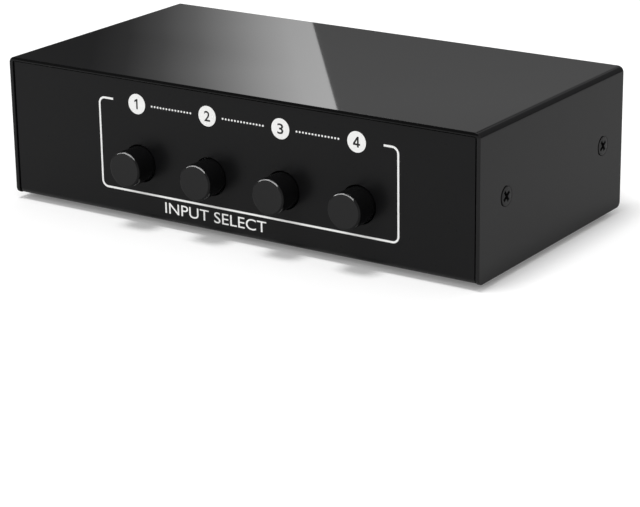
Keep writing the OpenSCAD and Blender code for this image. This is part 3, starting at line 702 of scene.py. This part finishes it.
def lettering(bm, words, u0, u1, v0, v1, low=INK_FOOT, high=INK, swell=0.0):
    """Words drawn one unit thick and then scaled into a box."""
    curve = bpy.data.curves.new("scratch", "FONT")
    curve.body = words
    curve.extrude = 0.5
    curve.offset = swell
    curve.resolution_u = 5
    obj = bpy.data.objects.new("scratch", curve)
    scene.collection.objects.link(obj)
    bpy.context.view_layer.update()
    mesh = bpy.data.meshes.new_from_object(obj.evaluated_get(bpy.context.evaluated_depsgraph_get()))
    bpy.data.objects.remove(obj)
    bpy.data.curves.remove(curve)
    us = [v.co.x for v in mesh.vertices]
    vs = [v.co.y for v in mesh.vertices]
    grow = Vector(((u1 - u0) / (max(us) - min(us)), (v1 - v0) / (max(vs) - min(vs)), high - low))
    shift = Vector((u0 - min(us) * grow.x, v0 - min(vs) * grow.y, (low + high) / 2))
    mesh.transform(Matrix.Translation(shift) @ Matrix.Diagonal(grow.to_4d()))
    first = len(bm.verts)
    bm.from_mesh(mesh)
    bpy.data.meshes.remove(mesh)
    bm.verts.ensure_lookup_table()
    bmesh.ops.remove_doubles(bm, verts=bm.verts[first:], dist=WELD)


NUMBER_SHIFT = -0.3
NUMBER_U = [CASE_W / 2 + BUTTON_X[i] + NUMBER_SHIFT for i in STATIONS]
NUMBER_V = 29.1
NUMBER_R = 2.55
NUMBER_SIDES = 48
DOT_FIRST = 4.6
DOT_STEP = 0.9
DOT_COUNT = 14
DOT_R = 0.25
DOT_SIDES = 12
FRAME_LEFT, FRAME_RIGHT, FRAME_LOW, FRAME_TOP = 28.6, 115.4, 6.5, 29.4
FRAME_OPEN_LEFT, FRAME_OPEN_RIGHT = 32.9, 111.5
FRAME_CORNER = 1.6
FRAME_LINE = 0.5
TITLE_BOX = (47.9, 78.2, 2.5, 5.3)

bm = bmesh.new()
frame_corners = [
    (FRAME_OPEN_LEFT, FRAME_TOP, 0), (FRAME_LEFT, FRAME_TOP, FRAME_CORNER),
    (FRAME_LEFT, FRAME_LOW, FRAME_CORNER), (FRAME_RIGHT, FRAME_LOW, FRAME_CORNER),
    (FRAME_RIGHT, FRAME_TOP, FRAME_CORNER), (FRAME_OPEN_RIGHT, FRAME_TOP, 0)]
ribbon(bm, rounded_path(frame_corners, steps=8), FRAME_LINE)
for u in NUMBER_U:
    disc(bm, u, NUMBER_V, NUMBER_R, NUMBER_SIDES)
for u in NUMBER_U[:-1]:
    for k in range(DOT_COUNT):
        disc(bm, u + DOT_FIRST + k * DOT_STEP, NUMBER_V, DOT_R, DOT_SIDES)
lettering(bm, "INPUT SELECT", *TITLE_BOX)
bm.transform(FRONT)
piece("front_print", bm, [WHITE_INK], "case", sharp=PRINT_SHARP)

# Digits, from the middle of their discs: 1 and 4 are drawn, 2 and 3 are lettering
DIGIT_H = 1.28
DIGIT_HALF = 0.86
DIGIT_SWELL = 0.01
ONE = ((0.28, -DIGIT_H), (0.28, DIGIT_H), (-0.1, DIGIT_H), (-0.72, 0.82), (-0.72, 0.4), (-0.16, 0.7),
       (-0.16, -DIGIT_H))
FOUR = (((0.12, -DIGIT_H), (0.58, -DIGIT_H), (0.58, DIGIT_H), (0.12, DIGIT_H)),
        ((-0.96, -0.8), (0.12, -0.8), (0.12, -0.36), (-0.96, -0.36)),
        ((0.58, -0.8), (0.94, -0.8), (0.94, -0.36), (0.58, -0.36)),
        ((-0.96, -0.36), (-0.44, -0.36), (0.12, 0.5), (0.12, DIGIT_H)))
bm = bmesh.new()
prism(bm, [(NUMBER_U[0] + u, NUMBER_V + v) for u, v in ONE], DIGIT_FOOT, DIGIT_TOP)
for outline in FOUR:
    prism(bm, [(NUMBER_U[3] + u, NUMBER_V + v) for u, v in outline], DIGIT_FOOT, DIGIT_TOP)
for digit, u in zip("23", NUMBER_U[1:]):
    lettering(bm, digit, u - DIGIT_HALF, u + DIGIT_HALF, NUMBER_V - DIGIT_H, NUMBER_V + DIGIT_H,
              DIGIT_FOOT, DIGIT_TOP, swell=DIGIT_SWELL)
bm.transform(FRONT)
piece("front_numbers", bm, [DARK_INK], "case", sharp=PRINT_SHARP)

# Rear table: lines round the socket groups, and boxes of words whose u runs from a group's left line
REAR_LEFT = 6.1
REAR_LINE = 0.4
ROWS = (1.6, 4.9, 31.9)
LABELS = ("INPUT 4", "INPUT 3", "INPUT 2", "INPUT 1", "OUTPUT")
LABEL_U = (5.6, 19.3)
LABEL_V = (2.2, 4.3)
JACK_LABEL_U = (15.8, 21.8)
JACK_LABEL_V = (12.3, 14.5)
bm = bmesh.new()
columns = [REAR_LEFT + k * CELL_PITCH for k in range(len(CELLS) + 1)]
for v in ROWS:
    bar(bm, columns[0] - REAR_LINE / 2, v - REAR_LINE / 2, columns[-1] + REAR_LINE / 2, v + REAR_LINE / 2)
for low, high in zip(ROWS, ROWS[1:]):
    for u in columns:
        bar(bm, u - REAR_LINE / 2, low + REAR_LINE / 2, u + REAR_LINE / 2, high - REAR_LINE / 2)
for u, words in zip(columns, LABELS):
    lettering(bm, words, u + LABEL_U[0], u + LABEL_U[1], *LABEL_V)
    lettering(bm, "AUX", u + JACK_LABEL_U[0], u + JACK_LABEL_U[1], *JACK_LABEL_V)
bm.transform(REAR)
piece("rear_print", bm, [WHITE_INK], "case", sharp=PRINT_SHARP)


# Stage: floor, cards for the reflections on cover and buttons, lamps, sky and camera

CAMERA_M = Vector((0.3164, -0.4668, 0.1802))
CAMERA_LENS_MM = 131.22
CAMERA_SENSOR_MM = 36.0
YAW, RISE, ROLL = math.radians(34.02), math.radians(18.93), math.radians(-0.81)
FORWARD = Vector((-math.sin(YAW) * math.cos(RISE), math.cos(YAW) * math.cos(RISE), -math.sin(RISE)))
LEVEL_RIGHT = Vector((math.cos(YAW), math.sin(YAW), 0))
LEVEL_FORWARD = Vector((-math.sin(YAW), math.cos(YAW), 0))


def shown_share(tree):
    """Output that is 1 for camera, glossy and transmission rays and 0 for the others."""
    path = tree.nodes.new("ShaderNodeLightPath")
    total = path.outputs["Is Camera Ray"]
    for name in ("Is Glossy Ray", "Is Transmission Ray"):
        add = tree.nodes.new("ShaderNodeMath")
        add.operation = "ADD"
        add.use_clamp = True
        tree.links.new(total, add.inputs[0])
        tree.links.new(path.outputs[name], add.inputs[1])
        total = add.outputs["Value"]
    return total


def stage_mesh(name, corners, material):
    """Flat face of the stage, from its corners in m."""
    mesh = bpy.data.meshes.new(name)
    mesh.from_pydata([tuple(c) for c in corners], [], [tuple(range(len(corners)))])
    mesh.materials.append(material)
    obj = bpy.data.objects.new(name, mesh)
    scene.collection.objects.link(obj)
    return obj


# Pale floor that is clear from below
FLOOR_M = 3.0
FLOOR_SHADE = 0.88
FLOOR_ROUGH = 0.9
FLOOR_GLOW = 0.15
floor_look = bpy.data.materials.new("floor_look")
floor_look.use_nodes = True
tree = floor_look.node_tree
paper = tree.nodes["Principled BSDF"]
paper.inputs["Base Color"].default_value = (FLOOR_SHADE, FLOOR_SHADE, FLOOR_SHADE, 1)
paper.inputs["Roughness"].default_value = FLOOR_ROUGH
paper.inputs["Specular IOR Level"].default_value = 0.0
paper.inputs["Emission Color"].default_value = (1, 1, 1, 1)
glow = tree.nodes.new("ShaderNodeMath")
glow.operation = "MULTIPLY"
glow.inputs[1].default_value = FLOOR_GLOW
tree.links.new(shown_share(tree), glow.inputs[0])
tree.links.new(glow.outputs["Value"], paper.inputs["Emission Strength"])
see_through = tree.nodes.new("ShaderNodeBsdfTransparent")
sides = tree.nodes.new("ShaderNodeMixShader")
geometry = tree.nodes.new("ShaderNodeNewGeometry")
tree.links.new(geometry.outputs["Backfacing"], sides.inputs["Fac"])
tree.links.new(paper.outputs["BSDF"], sides.inputs[1])
tree.links.new(see_through.outputs["BSDF"], sides.inputs[2])
tree.links.new(sides.outputs["Shader"], tree.nodes["Material Output"].inputs["Surface"])
floor_corners = [(x * FLOOR_M, y * FLOOR_M, 0) for x, y in ((-1, -1), (1, -1), (1, 1), (-1, 1))]
stage_mesh("floor", floor_corners, floor_look)

# Cards behind the part, and where the sharp edge of their reflection crosses the lid
CARD_AWAY_M = 1.2
CARD_ROWS = 12
CARD_GLOW = 5.33
CARD_FAR_SHARE = 0.76
EDGE_ON_LID_MM = ((-23.19, 34.52), (29.34, -34.1))
LID_CARD_M = (0.2, 0.65)
SIDE_CARD_M = (0.0, 1.25)
DARK_LEFT_M = -1.2
BRIGHT_WIDTH_M = 0.168
BRIGHT_SPREAD = 0.45
GREY_RIGHT_M = 0.85
SIDE_RIGHT_M = 3.2
DARK_LEVEL = 0.023
GREY_LEVEL = 0.15
SIDE_LEVEL = 0.06
BRIGHT_STOPS = ((0.0, DARK_LEVEL), (0.15, 0.05), (0.3, 0.125), (0.45, 0.25), (0.6, 0.44), (0.75, 0.66),
                (0.88, 0.83), (1.0, 0.89))


def mirrored(x_mm, y_mm):
    """Place on the cards, as (right, height), that the camera sees mirrored at a point of the cover's top."""
    lid = Vector((x_mm, y_mm, TOP_Z)) * MM
    eye = Vector((CAMERA_M.x, CAMERA_M.y, 2 * TOP_Z * MM - CAMERA_M.z))
    ray = lid - eye
    reach = (CARD_AWAY_M - eye.dot(LEVEL_FORWARD)) / ray.dot(LEVEL_FORWARD)
    hit = eye + ray * reach
    return hit.dot(LEVEL_RIGHT), hit.z


(far_right, far_height), (near_right, near_height) = (mirrored(*p) for p in EDGE_ON_LID_MM)
lean = (near_right - far_right) / (near_height - far_height)


def card_point(right, height):
    """Place of a card's point, from how far right and how high it lies."""
    return LEVEL_FORWARD * CARD_AWAY_M + LEVEL_RIGHT * right + Vector((0, 0, height))


def card_look(name, stops):
    """Glow along the card's first texture axis, from (place, strength) stops, that grows with the height."""
    material = bpy.data.materials.new(name)
    material.use_nodes = True
    tree = material.node_tree
    tree.nodes.remove(tree.nodes["Principled BSDF"])
    place = tree.nodes.new("ShaderNodeTexCoord")
    split = tree.nodes.new("ShaderNodeSeparateXYZ")
    ramp = tree.nodes.new("ShaderNodeValToRGB")
    glow = tree.nodes.new("ShaderNodeEmission")
    while len(ramp.color_ramp.elements) < len(stops):
        ramp.color_ramp.elements.new(0.5)
    for element, (at, level) in zip(ramp.color_ramp.elements, stops):
        element.position = at
        element.color = (level, level, level, 1)
    fade = tree.nodes.new("ShaderNodeMapRange")
    fade.inputs["From Min"].default_value = far_height
    fade.inputs["From Max"].default_value = near_height
    fade.inputs["To Min"].default_value = CARD_GLOW * CARD_FAR_SHARE
    fade.inputs["To Max"].default_value = CARD_GLOW
    tree.links.new(place.outputs["UV"], split.inputs["Vector"])
    tree.links.new(split.outputs["X"], ramp.inputs["Fac"])
    tree.links.new(split.outputs["Y"], fade.inputs["Value"])
    tree.links.new(ramp.outputs["Color"], glow.inputs["Color"])
    tree.links.new(fade.outputs["Result"], glow.inputs["Strength"])
    tree.links.new(glow.outputs["Emission"], tree.nodes["Material Output"].inputs["Surface"])
    return material


def only_reflected(obj):
    """Hides an object from the camera and from diffuse and shadow rays."""
    obj.visible_camera = False
    obj.visible_diffuse = False
    obj.visible_shadow = False


def card(name, left, right, look, low_high_m=LID_CARD_M):
    """Card seen only in reflections, between two edges that are functions of the height.
    Its glow runs from left to right."""
    mesh = bpy.data.meshes.new(name)
    low, high = low_high_m
    heights = [low + (high - low) * i / CARD_ROWS for i in range(CARD_ROWS + 1)]
    corners = [card_point(edge(h), h) for h in heights for edge in (left, right)]
    mesh.from_pydata([tuple(c) for c in corners], [],
                     [(2 * i, 2 * i + 1, 2 * i + 3, 2 * i + 2) for i in range(CARD_ROWS)])
    mesh.materials.append(look)
    layer = mesh.uv_layers.new(name="along")
    for loop in mesh.loops:
        layer.data[loop.index].uv = (loop.vertex_index % 2, heights[loop.vertex_index // 2])
    obj = bpy.data.objects.new(name, mesh)
    scene.collection.objects.link(obj)
    only_reflected(obj)


def edge_right(height):
    """Right edge of the bright card, which leans."""
    return far_right + lean * (height - far_height)


def dark_right(height):
    """Right edge of the dark card, from which the bright one widens upwards."""
    return edge_right(height) - BRIGHT_WIDTH_M - BRIGHT_SPREAD * (height - far_height)


def upright(right):
    """Edge of a card that keeps its place at every height."""
    return lambda height: right


def even(level):
    """Stops that keep one level from left to right."""
    return (0.0, level), (1.0, level)


card("bright_card", dark_right, edge_right, card_look("bright_card_look", BRIGHT_STOPS))
card("grey_card", edge_right, upright(GREY_RIGHT_M), card_look("grey_card_look", even(GREY_LEVEL)))
card("side_card", upright(GREY_RIGHT_M), upright(SIDE_RIGHT_M), card_look("side_card_look", even(SIDE_LEVEL)),
     SIDE_CARD_M)
card("dark_card", upright(DARK_LEFT_M), dark_right, card_look("dark_card_look", even(DARK_LEVEL)))


def plain_card(name, corners_m, strength, receivers=()):
    """Card of one even glow that is seen only in reflections. With receivers, only they see it."""
    material = bpy.data.materials.new(f"{name}_look")
    material.use_nodes = True
    tree = material.node_tree
    tree.nodes.remove(tree.nodes["Principled BSDF"])
    glow = tree.nodes.new("ShaderNodeEmission")
    glow.inputs["Strength"].default_value = strength
    shine = glow.outputs["Emission"]
    if receivers:
        clear = tree.nodes.new("ShaderNodeBsdfTransparent")
        both = tree.nodes.new("ShaderNodeAddShader")
        tree.links.new(shine, both.inputs[0])
        tree.links.new(clear.outputs["BSDF"], both.inputs[1])
        shine = both.outputs["Shader"]
    tree.links.new(shine, tree.nodes["Material Output"].inputs["Surface"])
    obj = stage_mesh(name, corners_m, material)
    only_reflected(obj)
    if receivers:
        group = bpy.data.collections.new(f"{name}_receivers")
        for receiver in receivers:
            group.objects.link(receiver)
        obj.light_linking.receiver_collection = group


# Arched card that lights the buttons' upper edges, and a dark wall to the part's left
GLINT_Y_M = -1.5
GLINT_GLOW = 38.0
GLINT_ARCH_M = ((-3.2, 0.6), (-2.7, 0.68), (-1.1, 0.87), (-0.17, 0.64), (0.1, 0.48),
                (0.1, 0.68), (-0.17, 0.84), (-1.1, 1.07), (-2.7, 0.88), (-3.2, 0.8))
WALL_X_M = -1.5
WALL_GLOW = 0.01
WALL_OUTLINE_M = ((0.05, 0.4), (15, 0.4), (15, 4.0), (0.05, 4.0))
plain_card("glint_card", [(x, GLINT_Y_M, z) for x, z in GLINT_ARCH_M], GLINT_GLOW, button_caps)
plain_card("dark_wall", [(WALL_X_M, y, z) for y, z in WALL_OUTLINE_M], WALL_GLOW)


def lamp(name, at_m, side_m, watts):
    """Square lamp that shines at the origin."""
    data = bpy.data.lights.new(name, "AREA")
    data.shape = "RECTANGLE"
    data.size = side_m
    data.size_y = side_m
    data.energy = watts
    obj = bpy.data.objects.new(name, data)
    obj.location = at_m
    obj.rotation_euler = (-Vector(at_m)).to_track_quat("-Z", "Y").to_euler()
    scene.collection.objects.link(obj)
    return obj


lamp("key_lamp", at_m=(-0.3, -0.7, 4.0), side_m=1.2, watts=85.0)
lamp("front_lamp", at_m=(-0.3, -1.4, 0.9), side_m=0.8, watts=6.0).visible_glossy = False
lamp("rear_lamp", at_m=(0.3, 1.4, 0.9), side_m=0.8, watts=6.0).visible_glossy = False

# Sky: how strongly it lights, and how strongly it shows
SKY_LIGHT = 0.48
SKY_SHOWN = 1.0
world = bpy.data.worlds.new("studio")
scene.world = world
world.use_nodes = True
tree = world.node_tree
sky = tree.nodes["Background"]
level = tree.nodes.new("ShaderNodeMapRange")
level.inputs["To Min"].default_value = SKY_LIGHT
level.inputs["To Max"].default_value = SKY_SHOWN
tree.links.new(shown_share(tree), level.inputs["Value"])
sky.inputs["Color"].default_value = (1, 1, 1, 1)
tree.links.new(level.outputs["Result"], sky.inputs["Strength"])

lens = bpy.data.cameras.new("main_camera")
lens.lens = CAMERA_LENS_MM
lens.sensor_width = CAMERA_SENSOR_MM
camera = bpy.data.objects.new("main_camera", lens)
level_up = LEVEL_RIGHT.cross(FORWARD)
right = LEVEL_RIGHT * math.cos(ROLL) + level_up * math.sin(ROLL)
up = right.cross(FORWARD)
camera.matrix_world = Matrix.Translation(CAMERA_M) @ Matrix((right, up, -FORWARD)).transposed().to_4x4()
scene.collection.objects.link(camera)
scene.camera = camera

scene.view_settings.view_transform = "Standard"
